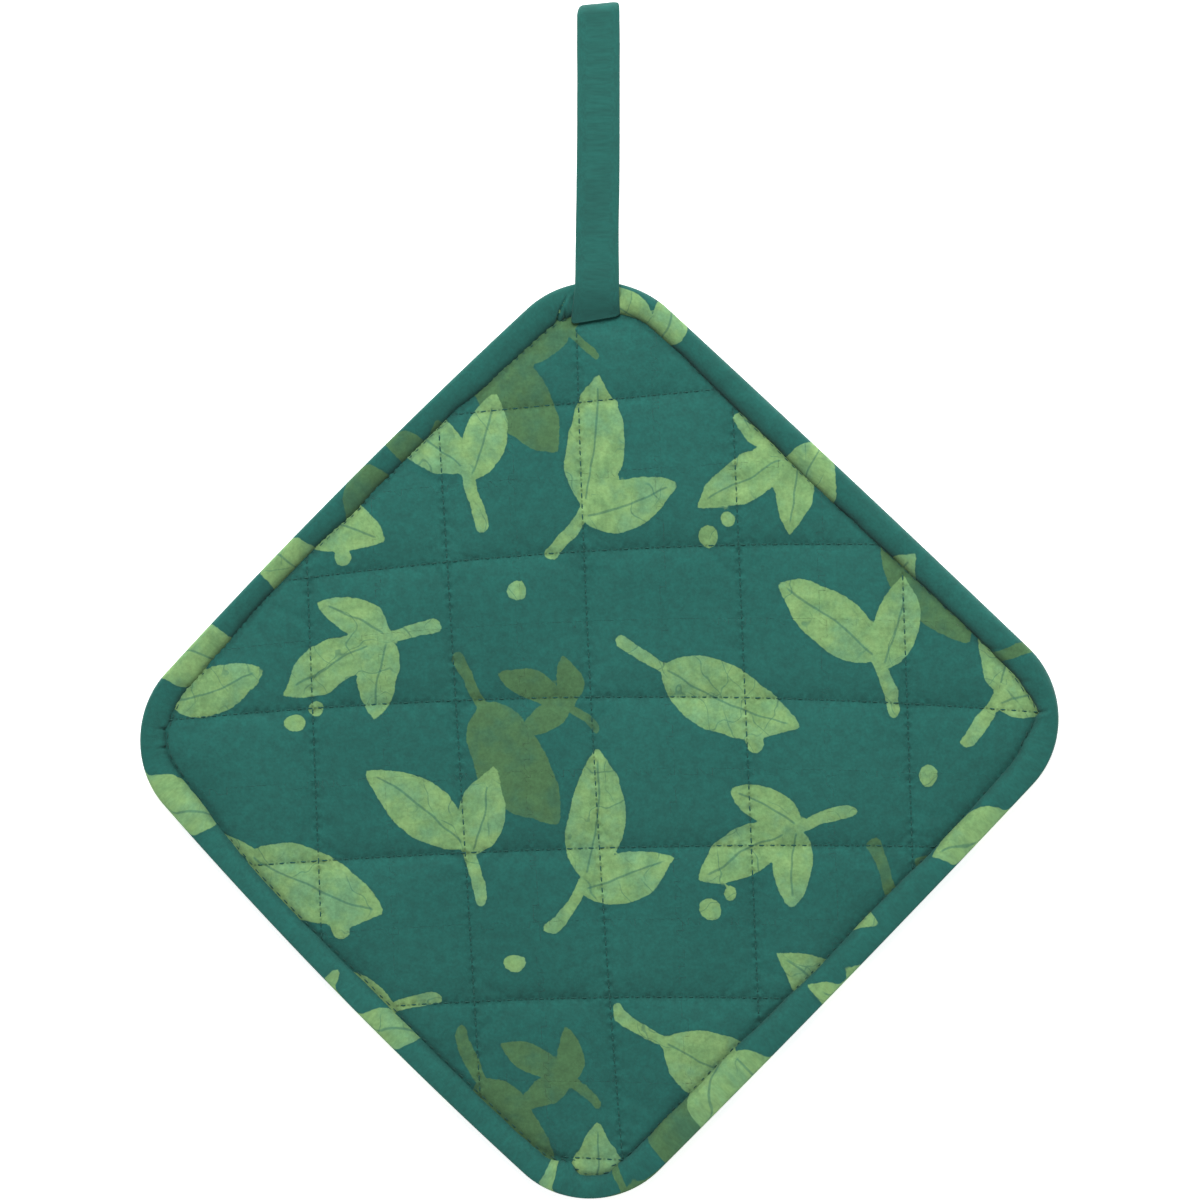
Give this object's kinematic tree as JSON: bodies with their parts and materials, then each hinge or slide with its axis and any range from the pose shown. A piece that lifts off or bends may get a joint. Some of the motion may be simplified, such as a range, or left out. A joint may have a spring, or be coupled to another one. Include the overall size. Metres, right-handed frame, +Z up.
{
  "type": "pot holder",
  "caption": "Square quilted cloth pot holder with a bound edge and a folded hanging strap sewn over one corner.",
  "frame": {"origin": "middle of the footprint on the surface that the pot holder lies on, back down", "axes": "+Y from the lower corner to the hanging loop, +Z up out of the printed face, +X to the right as the printed face is read"},
  "size_m": [0.2758, 0.3595, 0.0076],
  "materials": {
    "quilt_cloth": "matt printed cotton",
    "binding_cloth": "matt printed cotton",
    "loop_cloth": "matt plain cotton"
  },
  "bodies": {
    "root": {"quilted_pad": "quilt_cloth", "edge_binding": "binding_cloth", "hanging_loop": "loop_cloth"}
  },
  "joints": []
}
